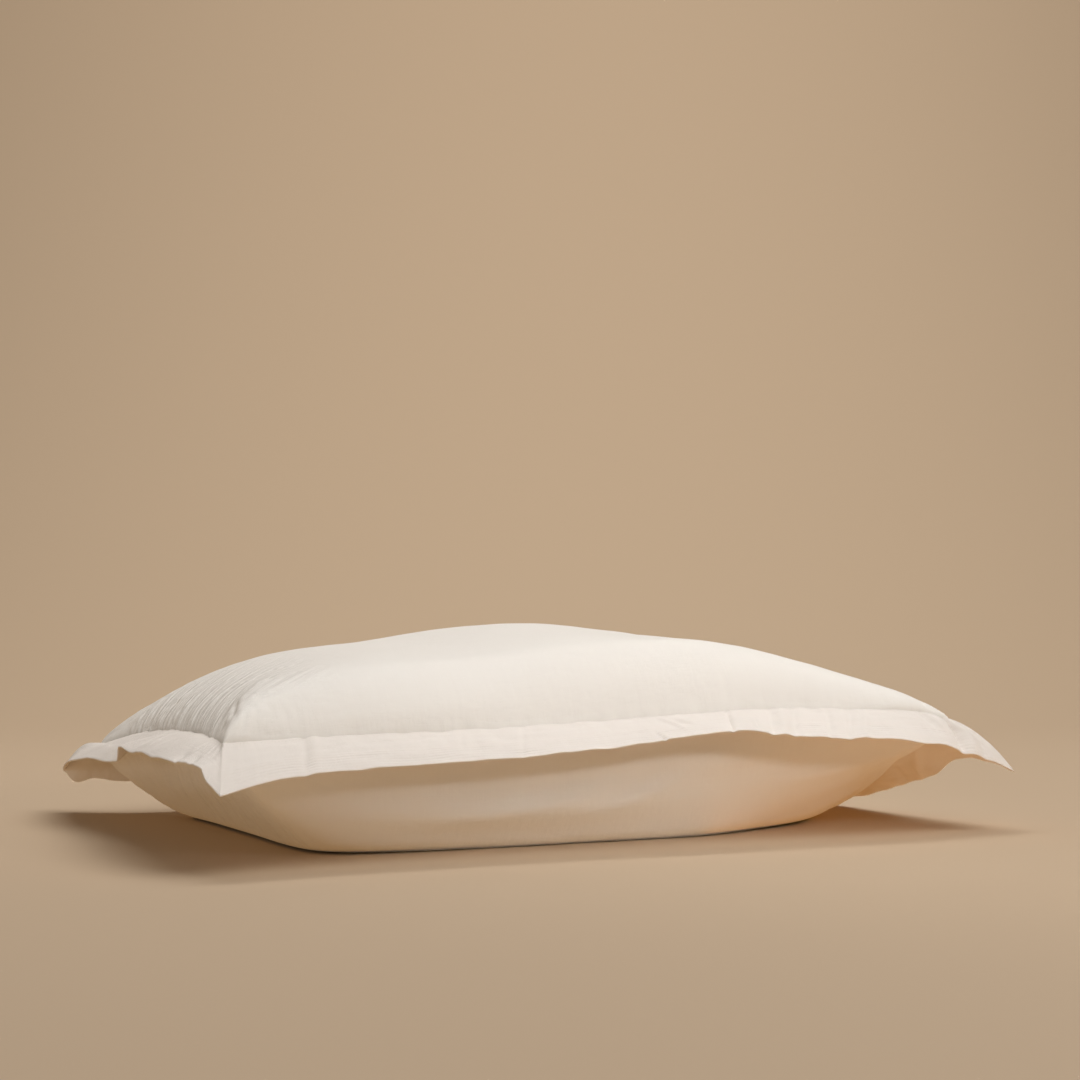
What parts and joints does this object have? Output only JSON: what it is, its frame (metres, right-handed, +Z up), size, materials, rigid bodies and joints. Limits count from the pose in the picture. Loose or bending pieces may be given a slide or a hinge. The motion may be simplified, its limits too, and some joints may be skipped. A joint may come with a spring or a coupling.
{
  "type": "bordered pillowcase filled by its pillow",
  "caption": "Plump oblong pillowcase with a flat mitred border all round, crowned on top, drawn in between its corners and flat underneath where it rests.",
  "frame": {"origin": "middle of the part's bounding box, at the height of the flat underside it rests on", "axes": "+X along the length of the pillowcase, +Y from the near long side to the far one, +Z up from the flat underside to the crown"},
  "size_m": [0.7936, 0.5786, 0.1909],
  "materials": {
    "panel_cotton": "plain closely woven ivory cotton, matt with a faint sheen",
    "border_cotton": "the same ivory cotton, doubled, stitched through and a little creased"
  },
  "bodies": {
    "root": {"filled_bag": "panel_cotton", "border_front": "border_cotton", "border_right": "border_cotton", "border_back": "border_cotton", "border_left": "border_cotton"}
  },
  "joints": []
}
